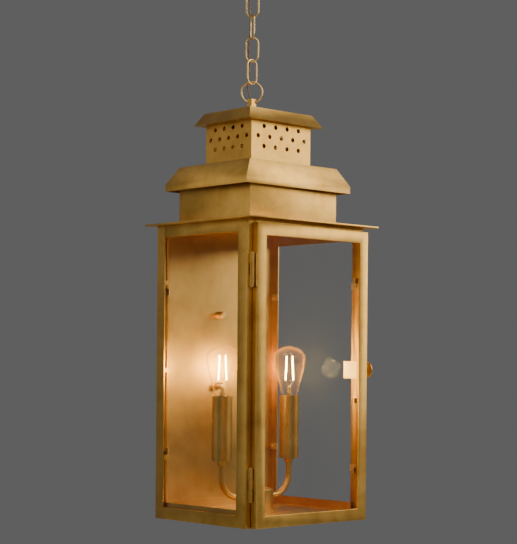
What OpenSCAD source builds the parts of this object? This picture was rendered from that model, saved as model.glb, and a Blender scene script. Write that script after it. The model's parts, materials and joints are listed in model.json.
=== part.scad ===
// Twin-light sheet-brass lantern with a hinged glass door, hung by a ring and four
// chain links from a ceiling canopy. The origin is the centre of the canopy's top face,
// +Z is up, the door faces -Y and its hinges are on the -X side.

/* [Ceiling canopy] */
// Canopy radius
canopy_r = 60; // [56:1:80]
// Canopy depth below the ceiling
canopy_h = 22; // [18:1:30]
// Canopy sheet thickness
canopy_t = 1.2; // [0.8:0.1:2]
// Crossbar hole spacing, for a 4 inch outlet box
bar_spacing = 88.9; // [70:0.1:96]
// Crossbar hole radius
bar_hole_r = 2.4; // [2:0.1:3]
// Crossbar width
bar_w = 16; // [14:1:20]
// Crossbar thickness
bar_t = 2.5; // [2:0.1:4]
// Threaded nipple radius, 1/8 IP
nipple_r = 4.75; // [4.5:0.05:5.2]
// Nipple bore radius
nipple_bore_r = 3; // [2.5:0.1:3.2]
// Loop collar height
collar_h = 10; // [8:1:16]
// Loop collar radius
collar_r = 7.5; // [7:0.5:12]
// Loop ring centreline radius
loop_rc = 9; // [8.5:0.5:12]
// Loop ring wire diameter
loop_wire = 2.6; // [2:0.1:4]

/* [Chain] */
// Distance between the end wires of one link, centre to centre
link_cc = 29.9; // [26:0.1:40]
// Distance between the side wires of one link, centre to centre
link_side = 14.8; // [13:0.1:20]
// Link wire diameter
link_wire = 2.2; // [1.8:0.1:3]
// Gap between two linked wires
link_gap = 0.3; // [0.2:0.05:0.5]
// Top ring centreline radius
ring_rc = 12.8; // [11:0.1:18]
// Top ring wire diameter
ring_wire = 2.4; // [2:0.1:3]

/* [Hanger stem] */
// Side of the square stem
stem_w = 8.3; // [8:0.1:12]
// Stem height above the cap
stem_h = 20.5; // [16:0.5:30]
// Radius of the diagonal hole for the ring
stem_hole_r = 2.35; // [2.3:0.05:2.6]
// Metal above that hole
stem_web = 1.5; // [1:0.1:3]
// Hanging point behind the lantern body's centre
hang_off = 18; // [15:0.1:22]
// Threaded end of the stem, radius
stem_thread_r = 3; // [2.5:0.1:3.5]

/* [Roof] */
// Roof boxes' centre behind the body's centre
roof_off = 5.4; // [0:0.1:8]
// Roof sheet thickness
roof_t = 1.2; // [0.8:0.1:2]
// Cap height
cap_h = 15.3; // [10:0.1:25]
// Cap width at the bottom
cap_w = 121.6; // [112:0.1:150]
// Cap depth at the bottom
cap_d = 101.7; // [96:0.1:130]
// Slope of the cap's sides, measured inwards at the top
cap_slope = 9.6; // [6:0.1:12]
// Chimney height
chimney_h = 50; // [42:1:70]
// Chimney width
chimney_w = 97.2; // [90:0.1:105]
// Chimney depth
chimney_d = 82; // [78:0.1:90]
// Vent hole diameter
vent_dia = 5.6; // [3:0.1:6]
// Vent hole spacing across the front
vent_pitch_x = 18.9; // [14:0.1:20]
// Vent hole spacing across the side
vent_pitch_y = 16.2; // [13:0.1:17]
// Vent row spacing
vent_row = 11.9; // [8:0.1:13]
// First vent row below the cap
vent_drop = 5.9; // [3.5:0.1:8]
// Skirt lip width
skirt_w = 170.6; // [160:0.1:190]
// Skirt lip depth
skirt_d = 147.8; // [142:0.1:160]
// Skirt lip height
skirt_lip = 8.5; // [5:0.5:14]
// Skirt slope height
skirt_slope_h = 21.4; // [14:0.1:30]
// Lower box width
lower_w = 142.6; // [130:0.1:150]
// Lower box depth
lower_d = 127.8; // [120:0.1:134]
// Lower box height that shows under the skirt
lower_h = 40.7; // [30:0.1:60]
// Roof plate width
plate_w = 211.5; // [205:0.5:240]
// Roof plate depth
plate_d = 191.2; // [188:0.1:210]
// Roof plate centre behind the body's centre
plate_off = -2.4; // [-4:0.1:0]
// Roof plate thickness
plate_t = 2; // [1:0.1:3]
// Heat opening in the roof plate, width
heat_w = 100; // [60:1:115]
// Heat opening in the roof plate, depth
heat_d = 76; // [50:1:90]

/* [Body] */
// Body width
body_w = 190; // [180:1:200]
// Body depth
body_d = 163; // [156:1:170]
// Body height
body_h = 354.6; // [330:0.1:450]
// Side sheet thickness
frame_t = 1.5; // [1:0.1:2.5]
// Back plate thickness
back_t = 4.1; // [1:0.1:5]
// Depth of the back plate's side flanges
flange_d = 14; // [10:0.5:20]
// Width of the front stile on each side
stile_w = 16.5; // [12:0.5:24]
// Height of the side rails
rail_h = 14.4; // [10:0.1:24]
// Width of the folded lip at the latch-side front corner
lip_w = 3.9; // [3:0.1:5]
// How far the hinge-side lip runs behind the door
lip_lap = 5; // [3:0.5:9]
// Glass thickness
glass_t = 2.4; // [2:0.1:4]
// Clearance between glass and metal edges
glass_gap = 0.5; // [0.2:0.1:1.5]
// How far the side glass laps behind its frame
glass_lap = 5; // [4:0.5:8]
// Floor plate height above the body's bottom edge
floor_z = 8; // [6:0.5:16]
// Floor sheet thickness
floor_t = 1.5; // [1:0.1:2.5]
// Height of the floor's upturned flanges
floor_flange = 10.5; // [6:0.5:16]

/* [Door] */
// Door thickness
door_t = 8.2; // [7:0.1:12]
// Door bar width
door_bar = 14; // [10:0.5:24]
// Door inset from the body's hinge side
door_in = 7.9; // [7.9:0.1:12]
// Gap between the door's back and the body's front
door_gap = 0.5; // [0.4:0.1:1.5]
// Gap between the door's top and the roof plate
door_top_gap = 4.8; // [3:0.1:12]
// Depth of door frame in front of its glass
door_reveal = 3.4; // [2:0.1:4]
// Door sheet thickness
door_sheet = 1.2; // [0.8:0.1:1.6]
// Lap of the door's glass behind its bars
door_lap = 4; // [3:0.5:7]
// Hinge height
hinge_h = 38; // [30:1:50]
// Hinge barrel radius
barrel_r = 2.7; // [2.4:0.1:2.9]
// Hinge pin radius
pin_r = 1.2; // [1:0.05:1.4]
// Hinge running clearance, on the radius
pin_clear = 0.05; // [0.02:0.01:0.1]
// Gap between hinge knuckles
knuckle_gap = 0.3; // [0.2:0.05:0.5]
// Hinge leaf thickness
leaf_t = 1; // [0.8:0.1:1.2]
// Upper hinge centre above the body's bottom
hinge_hi = 295.7; // [240:0.1:310]
// Lower hinge centre above the body's bottom
hinge_lo = 50.2; // [40:0.1:90]

/* [Latch] */
// Latch centre above the body's bottom
latch_z = 182; // [120:1:240]
// Latch centre behind the body's front face
latch_y = 7.5; // [7:0.1:9]
// Latch knob radius
knob_r = 10.4; // [8:0.1:14]
// Latch knob stand-off from the side face
knob_off = 13; // [8:0.5:20]
// Latch shaft radius
shaft_r = 2.5; // [2:0.1:3]
// Latch shaft running clearance, on the radius
shaft_clear = 0.06; // [0.02:0.01:0.1]
// Height of the strike plate
catch_h = 21; // [16:0.5:28]
// Depth of the strike plate
catch_d = 23; // [20:0.5:30]

/* [Wall screws] */
// Upper wall screw above the body's bottom
wall_screw_z = 249.4; // [220:0.1:280]
// Wall screw spacing, for a 4 inch outlet box
wall_spacing = 88.9; // [70:0.1:96]
// Wall screw radius
wall_screw_r = 2.5; // [2:0.1:3]
// Wall screw knob radius
wall_knob_r = 4.3; // [3.5:0.1:6]
// Wall screw knob length
wall_knob_l = 12; // [8:0.5:16]
// Wall screw length behind the back plate
wall_screw_l = 10; // [6:0.5:14]

/* [Lights] */
// Distance from the centre to each light
light_x = 55.5; // [50:0.5:62]
// Lights' place behind the body's centre
light_y = 5; // [0:0.5:12]
// Candle sleeve radius
sleeve_r = 12.35; // [12:0.05:14]
// Candle sleeve wall
sleeve_t = 1; // [0.6:0.1:1.2]
// Candle sleeve length
sleeve_l = 76; // [60:1:110]
// Candle sleeve's lower end above the body's bottom
sleeve_z = 73.5; // [66:0.5:90]
// Hub radius
hub_r = 21.5; // [18:0.5:26]
// Hub height
hub_h = 27.5; // [24:0.5:40]
// Arm tube radius
arm_r = 3.75; // [3:0.05:5]
// Arm tube bore radius
arm_bore = 2.75; // [2:0.05:3]
// Arm bend radius
arm_bend = 25; // [18:1:27]
// Arm height above the floor
arm_z = 17.8; // [12:0.1:20]
// Bulb's largest radius
bulb_r = 20; // [15:0.5:22]
// Bulb height above its sleeve
bulb_h = 61.5; // [50:0.5:80]
// Bulb glass thickness
bulb_t = 0.8; // [0.5:0.1:1.2]
// Bulb screw base radius, E12
base_r = 5.9; // [5.6:0.05:6.2]
// Clearance of the screw base in its socket
base_clear = 0.1; // [0.05:0.01:0.2]

/* [Hidden] */
$fn = 48;
eps = 0.01;
// heights, from the ceiling down
z_collar = -canopy_h;
loop_sink = 1.3;
z_loop_c = -(canopy_h + collar_h + loop_rc - loop_sink);
z_loop_b = z_loop_c - loop_rc;
link_step = link_wire + link_gap;
z_l4t = z_loop_b + (loop_wire + link_wire) / 2 + link_gap;
z_l3t = z_l4t - link_cc + link_step;
z_l2t = z_l3t - link_cc + link_step;
z_l1t = z_l2t - link_cc + link_step;
z_l1b = z_l1t - link_cc;
z_rt = z_l1b + (link_wire + ring_wire) / 2 + link_gap;
z_rc = z_rt - ring_rc;
z_rb = z_rc - ring_rc;
z_hole = z_rb + 0.45;
z_stem = z_hole + stem_hole_r + stem_web;
z_cap = z_stem - stem_h;
z_chim = z_cap - cap_h;
z_skirt = z_chim - chimney_h;
z_lip = z_skirt - skirt_slope_h;
z_lipb = z_lip - skirt_lip;
z_plate = z_lipb - lower_h;
z_body = z_plate - plate_t;
z_b = z_body - body_h;
// angles of the link planes, measured from +X
a_ring = -45;
a_l1 = 0;
a_l2 = -45;
a_l3 = -115;
a_l4 = -45;
a_loop = 45;
// body faces
bx = body_w / 2;
by = body_d / 2;
y_back = by - back_t;
x_pane = bx - frame_t;
hinge_lip = door_in + lip_lap;
pane_y0 = -by + stile_w - glass_lap;
pane_y1 = by - flange_d + 2;
floor_top = z_b + floor_z + floor_t;
clip_t = 1.1;
clip_screw_r = 1.6;
// door
door_x0 = -bx + door_in;
door_w = body_w - door_in;
door_y1 = -by - door_gap;
door_y0 = door_y1 - door_t;
door_z0 = z_b;
door_h = body_h - door_top_gap;
pane_front = door_y0 + door_reveal;
hinge_x = door_x0 - barrel_r - 0.4;
hinge_y = -by - 0.4 - barrel_r + 0.1;
leaf_gap = 0.35;
// latch
latch_cx = bx;
shaft_in = 16;
cam_l = 7;
cam_w = 5;
cam_t = 1.6;
// lights
z_sleeve = z_b + sleeve_z;
z_top = z_sleeve + sleeve_l;
plug_h = 6;
z_arm = floor_top + arm_z;
cup_h = 6;
// supply cord route, from inside the cap up to the canopy
cord_r = 1;
cord_pts = [
    [6, 7.5, -203], [6, 7.5, -198], [6, 7.5, -192], [5.6, 7.1, -185], [4.4, 6.2, -178],
    [2.7, 6, -173.5], [1, 6.1, -169], [-0.6, 6.8, -162], [-0.3, 6.2, -155], [0.6, 5.2, -148],
    [0.4, 5.2, -138], [0, 5, -129.5], [-1.4, 4, -121.5], [-2.7, 2.7, -115.5], [-3.8, 1.3, -109.5],
    [-4.5, -0.3, -102], [-4.4, -0.6, -93], [-4.2, -0.7, -84], [-4, -0.6, -75], [-3.3, 0.8, -67.5],
    [-2.6, 2.4, -61], [-1.4, 3.9, -54.5], [-0.1, 4.2, -48], [0.1, 3, -42], [0.1, 1.1, -37],
    [0, 0, -32], [0, 0, -27], [0, 0, -20], [0, 0, -10]
];
// smooth curve through the route points
function cr(p0, p1, p2, p3, t) = 0.5 * (2 * p1 + (p2 - p0) * t
    + (2 * p0 - 5 * p1 + 4 * p2 - p3) * t * t
    + (3 * p1 - p0 - 3 * p2 + p3) * t * t * t);
function at(p, i) = p[max(0, min(len(p) - 1, i))];
function curve(p, n) = concat([for (i = [0:len(p) - 2], k = [0:n - 1])
    cr(at(p, i - 1), p[i], p[i + 1], at(p, i + 2), k / n)], [p[len(p) - 1]]);
function unit(v) = v / norm(v);
// a path of straight runs with a rounded bend at each corner
function bends(p, d) = concat([p[0]], [for (i = [1:len(p) - 2], t = [0:3])
    let (a = p[i] + d * unit(p[i - 1] - p[i]), b = p[i] + d * unit(p[i + 1] - p[i]), u = t / 3)
    (1 - u) * (1 - u) * a + 2 * u * (1 - u) * p[i] + u * u * b], [p[len(p) - 1]]);
function tang(c, i) = unit(at(c, i + 1) - at(c, i - 1));
function side_of(t) = unit(cross(t, [0.28, 0.96, 0]));

brass = [0.78, 0.6, 0.33];
brass_dark = [0.62, 0.46, 0.24];

module at_body() translate([0, -hang_off, 0]) children();
module at_roof() translate([0, -hang_off + roof_off, 0]) children();
module box_c(w, d, z0, z1) translate([-w / 2, -d / 2, z0]) cube([w, d, z1 - z0]);
module slab(x0, y0, z0, x1, y1, z1) translate([x0, y0, z0]) cube([x1 - x0, y1 - y0, z1 - z0]);

// a frustum with a rectangular base and top
module frustum(w0, d0, z0, w1, d1, z1) {
    hull() {
        box_c(w0, d0, z0, z0 + eps);
        box_c(w1, d1, z1 - eps, z1);
    }
}

// ---------- ceiling ----------
module canopy() color(brass) rotate_extrude($fn = 96)
    polygon([[nipple_r + 0.3, -canopy_h], [nipple_r + 0.3, -canopy_h + canopy_t],
        [16, -canopy_h + canopy_t], [30, -canopy_h + canopy_t + 1.8],
        [44, -canopy_h * 0.7 + canopy_t], [canopy_r - 5, -canopy_h * 0.3 + canopy_t],
        [canopy_r - canopy_t, -4], [canopy_r - canopy_t, 0], [canopy_r, 0], [canopy_r, -4.5],
        [canopy_r - 4.4, -canopy_h * 0.3], [44.6, -canopy_h * 0.7],
        [30, -canopy_h + 1.8], [16.5, -canopy_h]]);

module crossbar() color("silver") difference() {
    translate([-bar_spacing / 2 - 7, -bar_w / 2, -bar_t]) cube([bar_spacing + 14, bar_w, bar_t]);
    for (s = [-1, 1]) translate([s * bar_spacing / 2, 0, -bar_t - 1]) cylinder(r = bar_hole_r, h = bar_t + 2);
    translate([0, 0, -bar_t - 1]) cylinder(r = nipple_r, h = bar_t + 2);
}

module nipple() color("gold") difference() {
    translate([0, 0, -canopy_h - collar_h * 0.6]) cylinder(r = nipple_r, h = canopy_h + collar_h * 0.6 - 0.4);
    translate([0, 0, -canopy_h - collar_h]) cylinder(r = nipple_bore_r, h = canopy_h + collar_h + 2);
}

module nipple_nut() color("gold") difference() {
    translate([0, 0, -bar_t - 4]) cylinder(r = nipple_r + 3, h = 4, $fn = 6);
    translate([0, 0, -bar_t - 5]) cylinder(r = nipple_r, h = 6);
}

module hanger_loop() color(brass) difference() {
    union() {
        translate([0, 0, -canopy_h - collar_h]) cylinder(r = collar_r, h = collar_h);
        rotate([0, 0, a_loop]) translate([0, 0, z_loop_c]) rotate([90, 0, 0])
            rotate_extrude() translate([loop_rc, 0]) circle(r = loop_wire / 2, $fn = 24);
    }
    translate([0, 0, -canopy_h - collar_h * 0.6]) cylinder(r = nipple_r, h = collar_h);
    translate([0, 0, -canopy_h - collar_h - 2]) cylinder(r = cord_r + 0.35, h = collar_h);
}

// ---------- chain ----------
// one oval link: two half rings joined by straight wires, with its top wire at z
module link(z, a) {
    rc = link_side / 2;
    rotate([0, 0, a]) {
        for (e = [0, 1]) translate([0, 0, z - rc - e * (link_cc - 2 * rc)])
            rotate([90, e * 180, 0]) rotate_extrude(angle = 180)
                translate([rc, 0]) circle(r = link_wire / 2, $fn = 24);
        for (s = [-1, 1]) translate([s * rc, 0, z - link_cc + rc])
            cylinder(r = link_wire / 2, h = link_cc - 2 * rc, $fn = 24);
    }
}
module chain_link_4() color(brass) link(z_l4t, a_l4);
module chain_link_3() color(brass) link(z_l3t, a_l3);
module chain_link_2() color(brass) link(z_l2t, a_l2);
module chain_link_1() color(brass) link(z_l1t, a_l1);
module top_ring() color(brass) rotate([0, 0, a_ring]) translate([0, 0, z_rc]) rotate([90, 0, 0])
    rotate_extrude() translate([ring_rc, 0]) circle(r = ring_wire / 2, $fn = 24);

// ---------- supply cord ----------
// a round tube of eight sides swept along the route
module tube(p, r) tube_on(curve(p, 2), r);
module tube_on(c, r) {
    n = len(c);
    s = 8;
    pts = [for (i = [0:n - 1]) let (t = tang(c, i), u = side_of(t), v = cross(t, u))
        for (k = [0:s - 1]) c[i] + r * (cos(360 * k / s) * u + sin(360 * k / s) * v)];
    faces = concat([[for (k = [0:s - 1]) k]], [[for (k = [s - 1:-1:0]) (n - 1) * s + k]],
        [for (i = [0:n - 2], k = [0:s - 1])
            [i * s + k, (i + 1) * s + k, (i + 1) * s + (k + 1) % s, i * s + (k + 1) % s]]);
    polyhedron(points = pts, faces = faces, convexity = 8);
}
module supply_cord() color([0.5, 0.38, 0.2]) tube(cord_pts, cord_r);

module cord_bushing() color([0.2, 0.16, 0.1]) translate([cord_pts[0][0], cord_pts[0][1], 0]) difference() {
    union() {
        translate([0, 0, z_cap]) cylinder(r = 2.8, h = 2);
        translate([0, 0, z_cap - 4]) cylinder(r = 2.1, h = 4.5);
    }
    translate([0, 0, z_cap - 5]) cylinder(r = cord_r + 0.1, h = 8);
}

// ---------- hanger ----------
module hanger_stem() color(brass) difference() {
    union() {
        intersection() {
            box_c(stem_w, stem_w, z_cap, z_stem);
            translate([0, 0, z_cap]) cylinder(r = stem_w * 0.66, h = stem_h);
        }
        translate([0, 0, z_cap - 12]) cylinder(r = stem_thread_r, h = 12.5);
    }
    translate([0, 0, z_hole]) rotate([0, 90, a_ring]) cylinder(r = stem_hole_r, h = 30, center = true);
}

strap_t = 3;
module hanger_strap() color(brass_dark) difference() {
    translate([-cap_w / 2 + cap_slope + 2 * roof_t, -10, z_cap - roof_t - strap_t]) cube([cap_w - 2 * cap_slope - 4 * roof_t, 20, strap_t]);
    translate([0, 0, z_cap - roof_t - strap_t - 1]) cylinder(r = stem_thread_r, h = strap_t + 2);
    translate([cord_pts[0][0], cord_pts[0][1], z_cap - roof_t - strap_t - 1]) cylinder(r = 2.4, h = strap_t + 2);
}

module stem_nut() color("gold") difference() {
    translate([0, 0, z_cap - roof_t - strap_t - 5]) cylinder(r = stem_thread_r * 1.9, h = 5, $fn = 6);
    translate([0, 0, z_cap - roof_t - strap_t - 6]) cylinder(r = stem_thread_r, h = 7);
    translate([cord_pts[0][0], cord_pts[0][1], z_cap - roof_t - strap_t - 6]) cylinder(r = 2.4, h = 7);
}

// ---------- roof ----------
module cap() color(brass) {
    difference() {
        at_roof() union() {
            difference() {
                frustum(cap_w, cap_d, z_chim, cap_w - 2 * cap_slope, cap_d - 2 * cap_slope, z_cap);
                translate([0, 0, -roof_t]) frustum(cap_w - 2 * roof_t, cap_d - 2 * roof_t, z_chim - eps,
                    cap_w - 2 * cap_slope - 2 * roof_t, cap_d - 2 * cap_slope - 2 * roof_t, z_cap);
            }
            difference() {
                box_c(cap_w - 2.2 * roof_t, cap_d - 2.2 * roof_t, z_chim, z_chim + roof_t);
                box_c(chimney_w - 12, chimney_d - 12, z_chim - 1, z_chim + roof_t + 1);
            }
        }
        translate([0, 0, z_cap - 3]) cylinder(r = stem_thread_r + 0.05, h = 6);
        translate([cord_pts[0][0], cord_pts[0][1], z_cap - 3]) cylinder(r = 2.1, h = 6);
    }
}

// staggered vent holes on one face: rows of four, five and four
module vents(pitch, depth) {
    for (row = [0:2]) let (n = row == 1 ? 5 : 4)
        for (i = [0:n - 1]) translate([(i - (n - 1) / 2) * pitch, 0, z_chim - vent_drop - row * vent_row])
            rotate([90, 0, 0]) cylinder(r = vent_dia / 2, h = depth + 2, center = true, $fn = 24);
}
module chimney() color(brass) at_roof() difference() {
    box_c(chimney_w, chimney_d, z_skirt, z_chim);
    box_c(chimney_w - 2 * roof_t, chimney_d - 2 * roof_t, z_skirt - 1, z_chim + 1);
    vents(vent_pitch_x, chimney_d);
    rotate([0, 0, 90]) vents(vent_pitch_y, chimney_w);
}

module skirt() color(brass) at_roof() difference() {
    union() {
        frustum(skirt_w, skirt_d, z_lip, lower_w, lower_d, z_skirt);
        box_c(skirt_w, skirt_d, z_lipb, z_lip + eps);
    }
    translate([0, 0, -roof_t]) frustum(skirt_w - 2 * roof_t, skirt_d - 2 * roof_t, z_lip,
        lower_w - 1.6 * roof_t, lower_d - 1.6 * roof_t, z_skirt);
    box_c(skirt_w - 2 * roof_t, skirt_d - 2 * roof_t, z_lipb - 1, z_lip - roof_t + 2 * eps);
    box_c(chimney_w - 2 * roof_t, chimney_d - 2 * roof_t, z_skirt - 5, z_skirt + 1);
}

module lower_box() color(brass) at_roof() difference() {
    union() {
        box_c(lower_w, lower_d, z_plate, z_skirt - roof_t - 3);
        box_c(lower_w - 4, lower_d - 4, z_skirt - roof_t - 3.5, z_skirt - roof_t);
    }
    box_c(lower_w - 2 * roof_t, lower_d - 2 * roof_t, z_plate - 1, z_skirt - roof_t - 6);
    box_c(lower_w - 8, lower_d - 8, z_skirt - roof_t - 7, z_skirt + 1);
}

module roof_plate() color(brass) at_body() difference() {
    translate([0, plate_off, 0]) box_c(plate_w, plate_d, z_body, z_plate);
    translate([0, roof_off, 0]) box_c(heat_w, heat_d, z_body - 1, z_plate + 1);
}

// ---------- body ----------
module back_pan() color(brass_dark) at_body() difference() {
    union() {
        slab(-bx, y_back, z_b, bx, by, z_body);
        for (s = [-1, 1]) slab(s > 0 ? x_pane : -bx, by - flange_d, z_b, s > 0 ? bx : -x_pane, y_back + eps, z_body);
    }
    for (k = [0, 1]) translate([0, 0, z_b + wall_screw_z - k * wall_spacing]) rotate([90, 0, 0])
        cylinder(r = wall_screw_r + 0.35, h = 4 * by, center = true);
}

module side_frame(lip) difference() {
    union() {
        slab(x_pane, -by, z_b, bx, by - flange_d, z_body);
        slab(bx - lip, -by, z_b, bx, -by + frame_t, z_body);
    }
    slab(x_pane - 1, -by + stile_w, z_b + rail_h, bx + 1, by - flange_d + 1, z_body - rail_h);
}
module side_frame_left() color(brass_dark) at_body() mirror([1, 0, 0]) side_frame(hinge_lip);
module side_frame_right() color(brass) at_body() difference() {
    side_frame(lip_w);
    translate([0, -by + latch_y, z_b + latch_z]) rotate([0, 90, 0])
        cylinder(r = shaft_r + shaft_clear, h = 2 * body_w);
}

module side_glass() slab(x_pane - glass_t, pane_y0, floor_top, x_pane, pane_y1, z_body - glass_gap);
module side_glass_left() color([0.85, 0.9, 0.9, 0.35]) at_body() mirror([1, 0, 0]) side_glass();
module side_glass_right() color([0.85, 0.9, 0.9, 0.35]) at_body() side_glass();

// a retaining clip: a tongue over the glass, on a boss that a screw holds to the frame
module clip(y, dir, z) {
    slab(x_pane - glass_t - clip_t, min(y - dir * 3.5, y + dir * 9), z - 4, x_pane - glass_t,
        max(y - dir * 3.5, y + dir * 9), z + 4);
    translate([x_pane - glass_t - eps, y, z]) rotate([0, 90, 0]) cylinder(r = 2, h = glass_t + eps);
    translate([x_pane - glass_t - clip_t - 2, y, z]) rotate([0, 90, 0]) cylinder(r = clip_screw_r, h = 2.2);
}
clip_y_back = by - flange_d + 5;
clip_y_front = -by + 5.3;
clip_hi = 274.4;
clip_lo = 82.4;
module glass_clips() color(brass) at_body() for (m = [0, 1]) mirror([m, 0, 0]) for (h = [clip_hi, clip_lo]) {
    clip(clip_y_back, -1, z_b + h);
    clip(clip_y_front, 1, z_b + h + (h == clip_hi ? 10 : -20));
}

module floor_pan() color(brass_dark) at_body() {
    in = x_pane - glass_t - 0.4;
    difference() {
        union() {
            slab(-x_pane, -by + frame_t, z_b + floor_z, x_pane, y_back, floor_top);
            for (s = [-1, 1]) slab(s > 0 ? in - 1.2 : -in, -by + 12, floor_top - eps,
                s > 0 ? in : -in + 1.2, y_back, floor_top + floor_flange);
            slab(-in, y_back - 1.2, floor_top - eps, in, y_back, floor_top + floor_flange);
            // front sill
            slab(-bx + hinge_lip + 0.2, -by, z_b, bx - lip_w - 0.2, -by + frame_t, floor_top + 2);
            for (s = [-1, 1]) slab(s > 0 ? x_pane - 1.2 : -x_pane, -by + frame_t, z_b, s > 0 ? x_pane : -x_pane + 1.2, y_back, floor_top);
        }
        // hole for the leads under the hub and beside the corner channel
        translate([0, light_y, z_b]) cylinder(r = 6, h = floor_z + 10);
        translate([-x_pane + tube_x, y_back - tube_r - 0.05, z_b]) cylinder(r = 1.6, h = floor_z + 5);
    }
}

header_h = 12;
module front_header() color(brass_dark) at_body()
    slab(-bx + hinge_lip + 0.2, -by, z_body - header_h, bx - lip_w - 0.2, -by + frame_t, z_body);

module wall_screws() color("gold") at_body() for (k = [0, 1]) translate([0, y_back, z_b + wall_screw_z - k * wall_spacing]) {
    rotate([90, 0, 0]) cylinder(r = wall_knob_r, h = wall_knob_l - 1);
    translate([0, -wall_knob_l + 1 + eps, 0]) rotate([90, 0, 0]) cylinder(r1 = wall_knob_r, r2 = wall_knob_r - 1, h = 1);
    rotate([-90, 0, 0]) cylinder(r = wall_screw_r + 0.3, h = back_t);
    translate([0, back_t - eps, 0]) rotate([-90, 0, 0]) cylinder(r = wall_screw_r, h = wall_screw_l);
}

// a tube on the back plate, near the hinge-side corner, that carries the lead down to the floor
tube_x = 9;
tube_r = 2.3;
tube_bore = 1.5;
module lead_tube() color(brass_dark) at_body() translate([-x_pane + tube_x, y_back - tube_r - 0.05, 0]) {
    difference() {
        translate([0, 0, floor_top + 12]) cylinder(r = tube_r, h = z_body - 10 - floor_top - 12, $fn = 32);
        translate([0, 0, z_b]) cylinder(r = tube_bore, h = body_h, $fn = 32);
    }
    // saddles to the plate
    for (h = [0.2, 0.5, 0.8]) difference() {
        translate([-tube_r - 2, -tube_r, z_b + body_h * h]) cube([2 * tube_r + 4, 2 * tube_r + 0.05, 5]);
        translate([0, 0, z_b]) cylinder(r = tube_r - 0.1, h = body_h, $fn = 32);
    }
}

// the lead: down the heat opening, across to the channel, under the floor and up into the hub
lead_r = 1.2;
module rod(a, b, r) {
    v = b - a;
    translate(a) rotate([0, acos(v[2] / norm(v)), atan2(v[1], v[0])]) cylinder(r = r, h = norm(v), $fn = 24);
}
module inner_lead() color([0.2, 0.18, 0.15]) {
    c = [-x_pane + tube_x, y_back - tube_r - 0.05 - hang_off, 0];
    d = [-heat_w / 2 + 5, heat_d / 2 + roof_off - 5 - hang_off, 0];
    p = [[cord_pts[0][0], cord_pts[0][1], cord_pts[0][2]],
        [cord_pts[0][0], cord_pts[0][1], z_skirt + 6],
        [d[0], d[1], z_plate + 6],
        [d[0], d[1], z_body - 4],
        [c[0], c[1], z_body - 4],
        [c[0], c[1], z_b + 4],
        [0, light_y - hang_off, z_b + 4],
        [0, light_y - hang_off, floor_top + 12]];
    tube_on(bends(p, 6), lead_r);
}

// ---------- light cluster ----------
module hub_body() color(brass) at_body() translate([0, light_y, floor_top]) difference() {
    union() {
        cylinder(r = hub_r, h = hub_h - 3);
        cylinder(r = hub_r + 2.5, h = 2);
    }
    translate([0, 0, 2]) cylinder(r = hub_r - 1.5, h = hub_h);
    translate([0, 0, -1]) cylinder(r = 6, h = 5);
    translate([0, 0, arm_z]) rotate([0, 90, 0]) cylinder(r = arm_r, h = 3 * hub_r, center = true);
}
module hub_cover() color(brass) at_body() translate([0, light_y, floor_top + hub_h - 3]) {
    rotate_extrude() polygon([[0, 0], [hub_r, 0], [hub_r, 1], [hub_r - 1.2, 2.2], [hub_r - 3, 3], [0, 3.4]]);
    translate([0, 0, 3]) cylinder(r = 4, h = 2.6);
    translate([0, 0, -4]) cylinder(r = 2, h = 4.2);
}

module arm_shape(r) {
    translate([-arm_bend, 0, arm_bend]) rotate([90, 0, 0]) rotate([0, 0, -90])
        rotate_extrude(angle = 90) translate([arm_bend, 0]) circle(r = r, $fn = 32);
    translate([0, 0, arm_bend - eps]) cylinder(r = r, h = z_sleeve - 1.5 - cup_h - z_arm - arm_bend + 3, $fn = 32);
    translate([-(light_x - hub_r) - 3, 0, 0]) rotate([0, 90, 0])
        cylinder(r = r, h = light_x - hub_r + 3 - arm_bend + eps, $fn = 32);
}
module arm() translate([light_x, light_y, z_arm]) difference() {
    arm_shape(arm_r);
    arm_shape(arm_bore);
    translate([0, 0, z_sleeve - z_arm - 6.5]) cylinder(r = arm_bore, h = 10);
    translate([-(light_x - hub_r) - 4, 0, 0]) rotate([0, 90, 0]) cylinder(r = arm_bore, h = 3, $fn = 32);
}
module arm_left() color(brass) at_body() mirror([1, 0, 0]) arm();
module arm_right() color(brass) at_body() arm();

module coupling() translate([light_x, light_y, z_sleeve]) difference() {
    union() {
        translate([0, 0, -1.5 - cup_h]) cylinder(r1 = 5, r2 = 6.5, h = cup_h);
        translate([0, 0, -1.5]) cylinder(r = sleeve_r - 0.6, h = 1.5);
        cylinder(r = sleeve_r - sleeve_t - 0.05, h = plug_h);
    }
    translate([0, 0, -1.5 - cup_h - 1]) cylinder(r = arm_r, h = 4 + 0.01);
    translate([0, 0, -12]) cylinder(r = arm_bore, h = 30);
}
module coupling_left() color(brass) at_body() mirror([1, 0, 0]) coupling();
module coupling_right() color(brass) at_body() coupling();

module sleeve() translate([light_x, light_y, z_sleeve]) difference() {
    cylinder(r = sleeve_r, h = sleeve_l, $fn = 64);
    translate([0, 0, -1]) cylinder(r = sleeve_r - sleeve_t, h = sleeve_l + 2, $fn = 64);
}
module sleeve_left() color(brass_dark) at_body() mirror([1, 0, 0]) sleeve();
module sleeve_right() color(brass_dark) at_body() sleeve();

// heights inside the sleeve, from its top
base_top = -9;
base_h = 17;
socket_top = -12;
module socket() translate([light_x, light_y, z_top]) difference() {
    union() {
        translate([0, 0, socket_top - 24]) cylinder(r = 9.5, h = 24);
        translate([0, 0, -sleeve_l + plug_h]) cylinder(r = 4.5, h = sleeve_l - plug_h + socket_top - 24 + eps);
    }
    translate([0, 0, socket_top - 20]) cylinder(r = base_r + base_clear, h = 21);
    translate([0, 0, -sleeve_l]) cylinder(r = arm_bore, h = sleeve_l + socket_top - 22);
}
module socket_left() color([0.15, 0.13, 0.12]) at_body() mirror([1, 0, 0]) socket();
module socket_right() color([0.15, 0.13, 0.12]) at_body() socket();

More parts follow.
